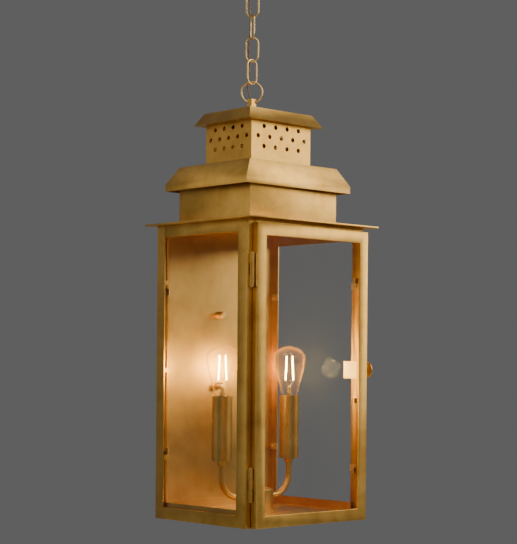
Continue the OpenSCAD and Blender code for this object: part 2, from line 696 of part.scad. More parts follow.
// bulb profile as radius and height; the waist, the widest point and the crown follow bulb_r and bulb_h
function bulb_prof(r, h, t) = [
    [6.6 - t, -9], [7.4 - t, -6.5], [10 - t, -2.5], [10.6 - t, 1], [r * 0.62 - t, h * 0.18], [r * 0.735 - t, h * 0.34],
    [r * 0.86 - t, h * 0.49], [r * 0.96 - t, h * 0.63], [r - t, h * 0.74], [r * 0.985 - t, h * 0.81],
    [r * 0.91 - t, h * 0.88], [r * 0.74 - t, h * 0.94 - t * 0.3], [r * 0.47 - t * 0.7, h * 0.98 - t * 0.7], [0, h - t]];
module bulb_glass() translate([light_x, light_y, z_top]) {
    rotate_extrude() polygon(concat(
        bulb_prof(bulb_r, bulb_h, 0),
        [for (i = [13:-1:0]) bulb_prof(bulb_r, bulb_h, bulb_t)[i]]));
    translate([0, 0, bulb_h - 0.5]) cylinder(r1 = 1.6, r2 = 0.8, h = 1.7);
}
module bulb_glass_left() color([1, 0.8, 0.5, 0.35]) at_body() mirror([1, 0, 0]) bulb_glass();
module bulb_glass_right() color([1, 0.8, 0.5, 0.35]) at_body() bulb_glass();

module bulb_base() translate([light_x, light_y, z_top + base_top]) {
    translate([0, 0, -base_h]) cylinder(r = base_r, h = base_h);
    translate([0, 0, -base_h - 2]) cylinder(r1 = 2.4, r2 = 4, h = 2.01);
}
module bulb_base_left() color("silver") at_body() mirror([1, 0, 0]) bulb_base();
module bulb_base_right() color("silver") at_body() bulb_base();

// glass stem with two upright filaments that lean together at the top
module filament() translate([light_x, light_y, z_top]) {
    translate([0, 0, base_top]) cylinder(r1 = 4.6, r2 = 2.6, h = 20.5);
    for (s = [-1, 1]) {
        rod([0, 0, 10], [s * 5.2, 0, 19], 0.45);
        rod([s * 5.2, 0, 19], [s * 4.6, 0, 49], 0.95);
        rod([s * 4.6, 0, 49], [0, 0, 53.5], 0.45);
        for (p = [[s * 5.2, 0, 19], [s * 4.6, 0, 49]]) translate(p) sphere(r = 0.95, $fn = 16);
    }
    translate([0, 0, 53.5]) sphere(r = 0.6, $fn = 16);
}
module filament_left() color([1, 0.85, 0.5]) at_body() mirror([1, 0, 0]) filament();
module filament_right() color([1, 0.85, 0.5]) at_body() filament();

// ---------- door ----------
module door_frame() color(brass) at_body() difference() {
    slab(door_x0, door_y0, door_z0, door_x0 + door_w, door_y1, door_z0 + door_h);
    slab(door_x0 + door_bar, door_y0 - 1, door_z0 + door_bar, door_x0 + door_w - door_bar, door_y1 + 1, door_z0 + door_h - door_bar);
    slab(door_x0 + door_bar - door_lap, pane_front, door_z0 + door_bar - door_lap,
        door_x0 + door_w - door_bar + door_lap, door_y1 + 1, door_z0 + door_h - door_bar + door_lap);
    // the bars are folded channels, open at the back
    difference() {
        slab(door_x0 + door_sheet, door_y0 + door_sheet, door_z0 + door_sheet,
            door_x0 + door_w - door_sheet, door_y1 + 1, door_z0 + door_h - door_sheet);
        slab(door_x0 + door_bar - door_lap - door_sheet, door_y0, door_z0 + door_bar - door_lap - door_sheet,
            door_x0 + door_w - door_bar + door_lap + door_sheet, door_y1 + 2, door_z0 + door_h - door_bar + door_lap + door_sheet);
    }
}
module door_glass() color([0.85, 0.9, 0.9, 0.35]) at_body()
    slab(door_x0 + door_bar - door_lap + glass_gap, pane_front, door_z0 + door_bar - door_lap + glass_gap,
        door_x0 + door_w - door_bar + door_lap - glass_gap, pane_front + glass_t, door_z0 + door_h - door_bar + door_lap - glass_gap);

// small turn clips that lap over the glass inside the rebate
module door_clips() color(brass) at_body() for (z = [door_z0 + 60, door_z0 + door_h / 2 - 30, door_z0 + door_h - 60]) for (s = [0, 1])
    translate([s == 0 ? door_x0 + door_bar - door_lap : door_x0 + door_w - door_bar + door_lap - 6, pane_front + glass_t, z - 3])
        cube([6, door_y1 - pane_front - glass_t - 0.2, 6]);

// hinge knuckles: the frame has the outer two, the door the middle one
function kn_z(k) = k == 0 ? -hinge_h / 2 : k == 1 ? -hinge_h / 6 + knuckle_gap / 2 : hinge_h / 6 + knuckle_gap / 2;
kn_h = hinge_h / 3 - knuckle_gap / 2;
module knuckle(k, clear) translate([hinge_x, hinge_y, kn_z(k)]) difference() {
    cylinder(r = barrel_r, h = k == 1 ? kn_h - knuckle_gap / 2 : kn_h, $fn = 40);
    translate([0, 0, -1]) cylinder(r = pin_r + clear, h = kn_h + 2, $fn = 40);
}
module hinge_leaves_frame() color(brass) at_body() for (h = [hinge_lo, hinge_hi]) translate([0, 0, z_b + h]) {
    for (k = [0, 2]) knuckle(k, 0);
    difference() {
        union() {
            // plate on the folded lip, and a web to each outer knuckle
            slab(-bx + 0.3, -by - leaf_t, -hinge_h / 2, hinge_x, -by, hinge_h / 2);
            for (k = [0, 2]) slab(hinge_x - barrel_r, hinge_y, kn_z(k), hinge_x - barrel_r + leaf_t, -by - leaf_t + eps, kn_z(k) + kn_h);
        }
        // room for the middle knuckle and for the pin
        translate([hinge_x, hinge_y, kn_z(1) - knuckle_gap]) cylinder(r = barrel_r + 0.3, h = kn_h + knuckle_gap * 1.5);
        translate([hinge_x, hinge_y, -hinge_h]) cylinder(r = pin_r, h = 2 * hinge_h);
    }
}
module hinge_leaves_door() color(brass) at_body() for (h = [hinge_lo, hinge_hi]) translate([0, 0, z_b + h]) {
    knuckle(1, pin_clear);
    difference() {
        union() {
            slab(door_x0 - leaf_t, door_y0 + 0.6, -hinge_h / 2, door_x0, hinge_y - barrel_r - leaf_gap, hinge_h / 2);
            slab(door_x0 - leaf_t, hinge_y - barrel_r - 1, kn_z(1), door_x0, hinge_y, kn_z(1) + kn_h - knuckle_gap / 2);
        }
        translate([hinge_x, hinge_y, -hinge_h]) cylinder(r = pin_r + pin_clear, h = 2 * hinge_h);
        // free of the outer knuckles through the whole swing
        for (k = [0, 2]) translate([hinge_x, hinge_y, kn_z(k) - knuckle_gap]) cylinder(r = barrel_r + 0.3, h = kn_h + 2 * knuckle_gap);
    }
}
module hinge_pins() color("gold") at_body() for (h = [hinge_lo, hinge_hi]) translate([hinge_x, hinge_y, z_b + h]) {
    translate([0, 0, -hinge_h / 2 - 0.4]) cylinder(r = pin_r, h = hinge_h + 0.8);
    for (s = [-1, 1]) translate([0, 0, s > 0 ? hinge_h / 2 : -hinge_h / 2 - 1]) cylinder(r = pin_r + 0.6, h = 1);
}

// strike: a plate that stands back from the door's channel, with a tab bent out beside the latch cam
strike_x = door_x0 + door_w - door_bar + door_lap + door_sheet;
tab_y = 2.9;
strike_t = 1;
module door_strike() color(brass) at_body() translate([0, 0, z_b + latch_z]) {
    slab(strike_x, door_y1 - 4, -catch_h / 2, strike_x + strike_t, door_y1 + catch_d, catch_h / 2);
    slab(strike_x + strike_t - eps, -by + latch_y + tab_y, 3.8, x_pane - glass_t - 0.5, -by + latch_y + tab_y + 1.2, 8.8);
}

// ---------- latch ----------
cam_x1 = bx - lip_w - 0.3;
cam_x0 = cam_x1 - cam_t;
module latch_knob() color(brass) at_body() translate([0, -by + latch_y, z_b + latch_z]) rotate([0, 90, 0]) {
    // dished knob, its neck, the shaft and a collar inside the post
    translate([0, 0, bx + knob_off]) rotate_extrude() polygon([[0, 0], [4, 0], [knob_r - 1.5, 1], [knob_r, 1.4],
        [knob_r, 2.4], [knob_r - 1, 2.9], [5, 2], [0, 2]]);
    translate([0, 0, bx + 0.4]) cylinder(r1 = 5, r2 = 3.4, h = knob_off - 0.4 + eps);
    translate([0, 0, cam_x1]) cylinder(r = shaft_r, h = bx + 0.5 - cam_x1);
    translate([0, 0, cam_x1 + 0.4]) cylinder(r = shaft_r + 0.7, h = x_pane - cam_x1 - 0.8);
}
module latch_cam() color(brass) at_body() translate([cam_x0, -by + latch_y, z_b + latch_z]) {
    rotate([0, 90, 0]) cylinder(r = shaft_r + 0.6, h = cam_t);
    slab(0, -cam_l, -cam_w / 2, cam_t, 0, cam_w / 2);
}

canopy();
crossbar();
nipple();
nipple_nut();
hanger_loop();
chain_link_1();
chain_link_2();
chain_link_3();
chain_link_4();
top_ring();
supply_cord();
cord_bushing();
hanger_stem();
stem_nut();
hanger_strap();
cap();
chimney();
skirt();
lower_box();
roof_plate();
back_pan();
side_frame_left();
side_frame_right();
side_glass_left();
side_glass_right();
floor_pan();
front_header();
glass_clips();
wall_screws();
lead_tube();
inner_lead();
hub_body();
hub_cover();
arm_left();
arm_right();
coupling_left();
coupling_right();
sleeve_left();
sleeve_right();
socket_left();
socket_right();
bulb_glass_left();
bulb_glass_right();
bulb_base_left();
bulb_base_right();
filament_left();
filament_right();
door_frame();
door_glass();
door_clips();
hinge_leaves_frame();
hinge_leaves_door();
hinge_pins();
door_strike();
latch_knob();
latch_cam();
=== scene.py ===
"""Looks of a hanging box lantern: satin brass sheet, clear panes and two lit candle lamps."""
import json
import logging
import math
from dataclasses import dataclass, field
from enum import Enum
from typing import Mapping, Sequence

import bmesh
import bpy
import numpy as np
from mathutils import Matrix, Vector


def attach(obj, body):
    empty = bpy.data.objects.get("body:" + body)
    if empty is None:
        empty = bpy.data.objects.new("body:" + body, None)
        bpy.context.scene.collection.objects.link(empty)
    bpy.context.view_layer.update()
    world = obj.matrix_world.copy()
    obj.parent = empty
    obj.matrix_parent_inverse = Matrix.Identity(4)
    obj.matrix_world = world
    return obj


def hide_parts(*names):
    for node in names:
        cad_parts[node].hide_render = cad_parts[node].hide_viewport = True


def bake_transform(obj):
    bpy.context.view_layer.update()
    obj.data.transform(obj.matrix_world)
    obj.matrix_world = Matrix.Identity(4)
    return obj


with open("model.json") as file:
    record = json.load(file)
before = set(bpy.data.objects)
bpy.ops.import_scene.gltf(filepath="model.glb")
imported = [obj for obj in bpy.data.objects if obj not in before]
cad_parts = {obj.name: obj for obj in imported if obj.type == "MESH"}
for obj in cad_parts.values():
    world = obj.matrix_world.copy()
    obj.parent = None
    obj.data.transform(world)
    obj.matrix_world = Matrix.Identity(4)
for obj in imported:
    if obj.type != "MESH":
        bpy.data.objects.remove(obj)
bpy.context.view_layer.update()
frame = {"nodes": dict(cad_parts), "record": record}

LOG = logging.getLogger("lantern")
MM = 0.001
MERGE = 0.002 * MM
FLAT = math.radians(1.0)
FOLD = math.radians(35.0)
Colour = tuple[float, float, float]
Point = tuple[float, float, float]


# ---------------------------------------------------------------- shader building

class Wire:
    """One socket of a node tree; arithmetic on it adds Math nodes."""

    def __init__(self, shop: "Shop", socket: bpy.types.NodeSocket) -> None:
        """Keeps the tree that the socket belongs to."""
        self.shop = shop
        self.socket = socket

    def _maths(self, operation: str, first: object, second: object) -> "Wire":
        """Adds one Math node.

        Args:
            operation: the Math node's operation.
            first: the upper input, a Wire or a number.
            second: the lower input, a Wire or a number.

        Returns:
            The node's result.
        """
        return self.shop.add("ShaderNodeMath", {"operation": operation}, {0: first, 1: second})

    def __add__(self, other: object) -> "Wire":
        """Sum."""
        return self._maths("ADD", self, other)

    def __mul__(self, other: object) -> "Wire":
        """Product."""
        return self._maths("MULTIPLY", self, other)

    def __pow__(self, other: object) -> "Wire":
        """Power."""
        return self._maths("POWER", self, other)

    __radd__ = __add__


class Shop:
    """Builds one material's node tree."""

    def __init__(self, name: str) -> None:
        """Starts a material that holds only its shader and its output."""
        self.material = bpy.data.materials.new(name)
        self.material.use_nodes = True
        self.tree = self.material.node_tree
        self.shader = self.tree.nodes["Principled BSDF"]

    def add(self, kind: str, settings: Mapping[str, object] | None = None,
            values: Mapping[object, object] | None = None, out: object = 0) -> Wire:
        """Adds any node.

        Args:
            kind: the node's type.
            settings: properties set first; "stops" holds a ramp's (place, colour) pairs.
            values: what goes to each input, a Wire or a plain value.
            out: the output that is returned.

        Returns:
            The chosen output.
        """
        node = self.tree.nodes.new(kind)
        for name, value in (settings or {}).items():
            if name == "stops":
                self._stops(node.color_ramp, value)
            else:
                setattr(node, name, value)
        for slot, value in (values or {}).items():
            self.put(node.inputs[slot], value)
        return Wire(self, node.outputs[out])

    @staticmethod
    def _stops(ramp: bpy.types.ColorRamp, stops: Sequence[tuple[float, Colour]]) -> None:
        """Sets a ramp's stops, from left to right."""
        while len(ramp.elements) < len(stops):
            ramp.elements.new(1.0)
        for element, (place, colour) in zip(ramp.elements, stops):
            element.position = place
            element.color = (*colour, 1.0)

    def put(self, socket: bpy.types.NodeSocket, value: object) -> None:
        """Links a Wire to a socket, or sets a plain value on it."""
        if isinstance(value, Wire):
            self.tree.links.new(value.socket, socket)
        else:
            socket.default_value = value

    def surface(self, **values: object) -> None:
        """Sets the shader's inputs, named with underscores for spaces."""
        for name, value in values.items():
            self.put(self.shader.inputs[name.replace("_", " ")], value)

    def place(self, stretch: Point = (1.0, 1.0, 1.0)) -> Wire:
        """Object coordinates, stretched by a factor along each axis."""
        where = self.add("ShaderNodeTexCoord", out="Object")
        return self.add("ShaderNodeMapping", None, {"Vector": where, "Scale": stretch})

    def noise(self, where: Wire, scale: float, detail: float = 3.0, rough: float = 0.55) -> Wire:
        """Cloudy noise from 0 to 1 at a place, with its scale in waves a metre."""
        return self.add("ShaderNodeTexNoise", None,
                        {"Vector": where, "Scale": scale, "Detail": detail, "Roughness": rough})

    def ramp(self, factor: Wire, *stops: tuple[float, Colour]) -> Wire:
        """Colour ramp over a factor."""
        return self.add("ShaderNodeValToRGB", {"stops": stops}, {"Fac": factor})

    def blend(self, factor: object, first: object, second: object) -> Wire:
        """Mix of two colours."""
        return self.add("ShaderNodeMix", {"data_type": "RGBA"},
                        {"Factor": factor, 6: first, 7: second}, out=2)

    def bump(self, height: Wire, strength: float, distance: float) -> Wire:
        """Normal from a height."""
        return self.add("ShaderNodeBump", None,
                        {"Height": height, "Strength": strength, "Distance": distance})


class Metal(Enum):
    """The lantern's metal finishes."""

    SHEET = "satin_sheet"
    ROOF = "satin_roof_sheet"
    DARK = "shaded_sheet"
    ROD = "satin_rod"
    BRIGHT = "bright_fitting"
    PLATE = "plated_steel"


@dataclass(frozen=True)
class Brushed:
    """Satin metal with clouded tone, fine brushing, dark specks and rubbed patches."""

    name: str
    deep: Colour
    body: Colour
    light: Colour
    roughness: float
    brushing: Point = (1.0, 1.0, 0.06)
    grain: float = 900.0
    fine_share: float = 0.35
    speck_share: float = 0.22
    relief: float = 0.12

    def material(self) -> bpy.types.Material:
        """Builds the finish.

        Returns:
            The material.
        """
        shop = Shop(self.name)
        plain = shop.place()
        cloud = shop.noise(plain, 16.0, 4.0, 0.6)
        patch = shop.noise(plain, 55.0, 5.0, 0.65)
        lines = shop.noise(shop.place(self.brushing), self.grain, 2.0)
        speck = shop.ramp(shop.noise(plain, 420.0, 2.0), (0.66, (0, 0, 0)), (0.74, (1, 1, 1)))
        tone = cloud * 0.6 + patch * 0.4
        colour = shop.ramp(tone, (0.34, self.deep), (0.5, self.body), (0.64, self.light))
        streaked = shop.blend(lines * self.fine_share, colour, (*self.deep, 1.0))
        aged = shop.blend(speck * self.speck_share, streaked, (*(c * 0.45 for c in self.deep), 1.0))
        height = lines * 0.6 + patch * 0.4
        shop.surface(Metallic=1.0, Base_Color=aged,
                     Roughness=self.roughness - 0.07 + cloud * 0.16 + lines * 0.08,
                     Normal=shop.bump(height, self.relief, 0.4 * MM))
        return shop.material


@dataclass(frozen=True)
class Clear:
    """Thin clear or tinted glass that reflects more at its edges."""

    name: str
    tint: Colour
    low: float
    high: float
    ripple: float = 0.0
    smear_share: float = 0.012
    index: float = 1.5

    def material(self) -> bpy.types.Material:
        """Builds the finish.

        Returns:
            The material.
        """
        shop = Shop(self.name)
        plain = shop.place()
        smear = shop.noise(shop.place((1.0, 1.0, 0.4)), 30.0, 4.0)
        edge = shop.add("ShaderNodeLayerWeight", None, {"Blend": 0.35}, out="Facing")
        clear = self.low + (edge ** 3.0) * (self.high - self.low) + smear * self.smear_share
        paler = tuple(min(1.0, c * 1.12) for c in self.tint)
        shop.surface(Base_Color=shop.ramp(smear, (0.3, self.tint), (0.8, paler)),
                     Roughness=smear * 0.06 + 0.02, Alpha=clear,
                     Normal=shop.bump(shop.noise(plain, 24.0, 2.0), self.ripple, 1.0 * MM))
        shop.surface(IOR=self.index)
        return shop.material


@dataclass(frozen=True)
class Glow:
    """A hot filament, with brighter beads along it."""

    name: str
    colour: Colour
    strength: float

    def material(self) -> bpy.types.Material:
        """Builds the finish.

        Returns:
            The material.
        """
        shop = Shop(self.name)
        beads = shop.noise(shop.place((1.0, 1.0, 3.0)), 260.0, 1.0)
        hottest = tuple(min(1.0, c * 1.25) for c in self.colour)
        hot = shop.ramp(beads, (0.3, self.colour), (0.7, hottest))
        shop.surface(Base_Color=hot, Emission_Color=hot, Emission_Strength=self.strength,
                     Roughness=0.5)
        return shop.material


@dataclass(frozen=True)
class Jacket:
    """Twisted cord cover or moulded insulator with fine bands."""

    name: str
    dark: Colour
    pale: Colour
    roughness: float
    bands: float = 900.0

    def material(self) -> bpy.types.Material:
        """Builds the finish.

        Returns:
            The material.
        """
        shop = Shop(self.name)
        weave = shop.noise(shop.place((1.0, 1.0, 0.7)), self.bands, 2.0)
        dust = shop.noise(shop.place(), 60.0, 3.0)
        colour = shop.ramp(weave * 0.7 + dust * 0.3, (0.35, self.dark), (0.65, self.pale))
        shop.surface(Base_Color=colour, Roughness=self.roughness + dust * 0.1,
                     Normal=shop.bump(weave, 0.25, 0.3 * MM))
        return shop.material


@dataclass
class Finishes:
    """All finishes of the lantern, each made once."""

    metals: dict[Metal, bpy.types.Material] = field(default_factory=dict)

    def __post_init__(self) -> None:
        """Makes the materials."""
        deep, body, light = (0.57, 0.295, 0.056), (0.76, 0.44, 0.095), (0.88, 0.545, 0.14)
        self.metals = {
            Metal.SHEET: Brushed("satin_sheet_brass", deep, body, light, 0.36).material(),
            Metal.ROOF: Brushed("satin_roof_brass", deep, body, light, 0.36,
                                (0.06, 0.06, 1.0)).material(),
            # painted shade: a darker copy of the sheet brass for the pans inside the lantern
            Metal.DARK: Brushed("shaded_inner_sheet_brass", (0.58, 0.32, 0.075), (0.72, 0.42, 0.105),
                                (0.80, 0.49, 0.13), 0.32).material(),
            Metal.ROD: Brushed("satin_rod_brass", deep, body, light, 0.33, (1, 1, 0.3),
                               500.0).material(),
            Metal.BRIGHT: Brushed("bright_fitting_brass", (0.76, 0.50, 0.18), (0.92, 0.66, 0.28),
                                  (0.96, 0.74, 0.36), 0.34, (1, 1, 1), 700.0).material(),
            Metal.PLATE: Brushed("plated_steel", (0.40, 0.39, 0.37), (0.56, 0.55, 0.53),
                                 (0.66, 0.65, 0.63), 0.3, (0.05, 1, 1)).material(),
        }
        self.pane = Clear("clear_pane_glass", (0.16, 0.18, 0.17), 0.03, 0.5, 0.02).material()
        self.bulb = Clear("amber_bulb_glass", (0.50, 0.25, 0.05), 0.012, 0.85, 0.04).material()
        self.stem = Clear("clear_stem_glass", (0.85, 0.62, 0.30), 0.22, 0.9, 0.2).material()
        self.filament = Glow("glowing_filament", (1.0, 0.70, 0.27), 20.0).material()
        self.cord = Jacket("twisted_supply_cord", (0.20, 0.115, 0.04), (0.50, 0.33, 0.14),
                           0.42).material()
        self.insulator = Jacket("moulded_socket_insulator", (0.02, 0.018, 0.015),
                                (0.05, 0.045, 0.04), 0.55, 300.0).material()
        self.lead = Jacket("sheathed_lead", (0.12, 0.075, 0.035), (0.24, 0.16, 0.08),
                           0.5).material()


# ---------------------------------------------------------------- surfaces

class Surface:
    """Parametric grids turned into mesh objects."""

    @staticmethod
    def grid(points: np.ndarray) -> tuple[np.ndarray, np.ndarray]:
        """Quads over a grid of points whose columns close into a ring.

        Args:
            points: array (rows, columns, 3).

        Returns:
            The vertices (n, 3) and the quads (m, 4).
        """
        rows, cols = points.shape[:2]
        i = np.arange(rows - 1)[:, None]
        j = np.arange(cols)[None, :]
        j2 = (j + 1) % cols
        quads = np.stack([i * cols + j, i * cols + j2, (i + 1) * cols + j2, (i + 1) * cols + j],
                         axis=-1)
        return points.reshape(-1, 3), quads.reshape(-1, 4)

    @staticmethod
    def revolve(profile: np.ndarray, centre: tuple[float, float], turns: int) -> np.ndarray:
        """Profile turned about an upright axis.

        Point (i, j) is (x + r_i cos a_j, y + r_i sin a_j, z_i), with a_j evenly round the circle.

        Args:
            profile: array (n, 2) of radius and height.
            centre: the axis's x and y.
            turns: points round the circle.

        Returns:
            The grid (n, turns, 3).
        """
        angle = np.linspace(0.0, 2 * np.pi, turns, endpoint=False)[None, :]
        radius, height = profile[:, :1], profile[:, 1:]
        return np.stack([centre[0] + radius * np.cos(angle), centre[1] + radius * np.sin(angle),
                         height + 0 * angle], axis=-1)

    @staticmethod
    def sweep(path: np.ndarray, radius: np.ndarray, sides: int,
              across: Point = (0.28, 0.96, 0.0)) -> np.ndarray:
        """Round section carried along a path.

        With t the unit tangent, u is t crossed with a fixed vector and v is t crossed with u;
        point (i, j) is p_i + r_ij (u cos a_j + v sin a_j).

        Args:
            path: array (n, 3).
            radius: array that broadcasts to (n, sides).
            sides: points round the section.
            across: the fixed vector.

        Returns:
            The grid (n, sides, 3).
        """
        tangent = np.gradient(path, axis=0)
        tangent /= np.linalg.norm(tangent, axis=1, keepdims=True)
        u = np.cross(tangent, np.array(across))
        u /= np.linalg.norm(u, axis=1, keepdims=True)
        v = np.cross(tangent, u)
        angle = np.linspace(0.0, 2 * np.pi, sides, endpoint=False)[None, :, None]
        ring = u[:, None, :] * np.cos(angle) + v[:, None, :] * np.sin(angle)
        size = np.broadcast_to(radius, (len(path), sides))[..., None]
        return path[:, None, :] + ring * size

    @staticmethod
    def spline(points: np.ndarray, steps: int) -> np.ndarray:
        """Smooth curve through route points.

        Between two points, it is the cubic whose end slopes are half the step between neighbours.

        Args:
            points: array (n, 3).
            steps: samples between two points.

        Returns:
            The curve, with its last point.
        """
        around = np.vstack([points[:1], points, points[-1:]])
        a, b, c, d = around[:-3], around[1:-2], around[2:-1], around[3:]
        t = (np.arange(steps) / steps)[None, :, None]
        a, b, c, d = (q[:, None, :] for q in (a, b, c, d))
        curve = 0.5 * (2 * b + (c - a) * t + (2 * a - 5 * b + 4 * c - d) * t ** 2
                       + (3 * b - a - 3 * c + d) * t ** 3)
        return np.vstack([curve.reshape(-1, 3), points[-1:]])

    @staticmethod
    def capped(points: np.ndarray) -> np.ndarray:
        """Adds a shrunken ring at both ends of a tube, so that its ends close in a point."""
        ends = points.mean(axis=1, keepdims=True)
        shrink = np.repeat(ends, points.shape[1], axis=1)
        return np.concatenate([shrink[:1], points, shrink[-1:]], axis=0)


class Workbench:
    """Puts surfaces into the scene as finished pieces."""

    def __init__(self) -> None:
        """Starts an empty list of pieces."""
        self.made: list[str] = []

    def piece(self, name: str, parts: Sequence[tuple[np.ndarray, np.ndarray]],
              material: bpy.types.Material, body: str, stands_for: Sequence[str] = (),
              ride: bool = True) -> bpy.types.Object:
        """Makes one mesh object from vertex and face arrays.

        Args:
            name: the object's name.
            parts: (vertices in mm, quads) pairs, joined in one mesh.
            material: the finish.
            body: the CAD body that it moves with.
            stands_for: CAD nodes that it replaces.
            ride: False to leave it unattached to its body.

        Returns:
            The object.
        """
        mesh = bpy.data.meshes.new(name)
        starts = np.cumsum([0] + [len(v) for v, _ in parts[:-1]])
        vertices = np.vstack([v for v, _ in parts]) * MM
        faces = np.vstack([f + s for (_, f), s in zip(parts, starts)])
        mesh.from_pydata(vertices.tolist(), [], faces.tolist())
        self.clean(mesh)
        mesh.materials.append(material)
        mesh.polygons.foreach_set("use_smooth", np.ones(len(mesh.polygons), dtype=bool))
        thing = bpy.data.objects.new(name, mesh)
        bpy.context.collection.objects.link(thing)
        self.register(thing, body, stands_for, ride)
        return thing

    @staticmethod
    def clean(mesh: bpy.types.Mesh) -> None:
        """Merges points that meet, drops empty faces and turns all faces outwards."""
        work = bmesh.new()
        work.from_mesh(mesh)
        bmesh.ops.remove_doubles(work, verts=work.verts, dist=MERGE)
        bmesh.ops.dissolve_degenerate(work, edges=work.edges, dist=1e-7)
        bmesh.ops.recalc_face_normals(work, faces=work.faces)
        work.to_mesh(mesh)
        work.free()

    def register(self, thing: bpy.types.Object, body: str, stands_for: Sequence[str],
                 ride: bool = True) -> None:
        """Ties a piece to its body and CAD nodes."""
        if ride:
            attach(thing, body)
        if stands_for:
            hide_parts(*stands_for)
        self.made.append(thing.name)
        LOG.info("%s moves with %s", thing.name, body)

    def folded(self, node: str, material: bpy.types.Material, body: str, slot: str,
               edge: float) -> None:
        """A sheet-metal piece with softened folds, worked from the CAD node's own surface.

        Args:
            node: the CAD node.
            material: the finish.
            body: the CAD body that it moves with.
            slot: the record's material slot; not used.
            edge: the folds' width in millimetres.
        """
        source = frame["nodes"][node]
        mesh = source.data.copy()
        mesh.name = f"{node}_folded"
        mesh.materials.clear()
        mesh.materials.append(material)
        work = bmesh.new()
        work.from_mesh(mesh)
        bmesh.ops.remove_doubles(work, verts=work.verts, dist=MERGE)
        bmesh.ops.dissolve_limit(work, angle_limit=FLAT, verts=work.verts, edges=work.edges)
        work.to_mesh(mesh)
        work.free()
        thing = bpy.data.objects.new(f"{node}_folded", mesh)
        bpy.context.collection.objects.link(thing)
        soft = thing.modifiers.new("folds", "BEVEL")
        soft.width = edge * MM
        soft.segments = 2
        soft.limit_method = "ANGLE"
        soft.angle_limit = FOLD
        soft.harden_normals = True
        mesh.polygons.foreach_set("use_smooth", np.ones(len(mesh.polygons), dtype=bool))
        self.register(thing, body, (node,))


# ---------------------------------------------------------------- pieces

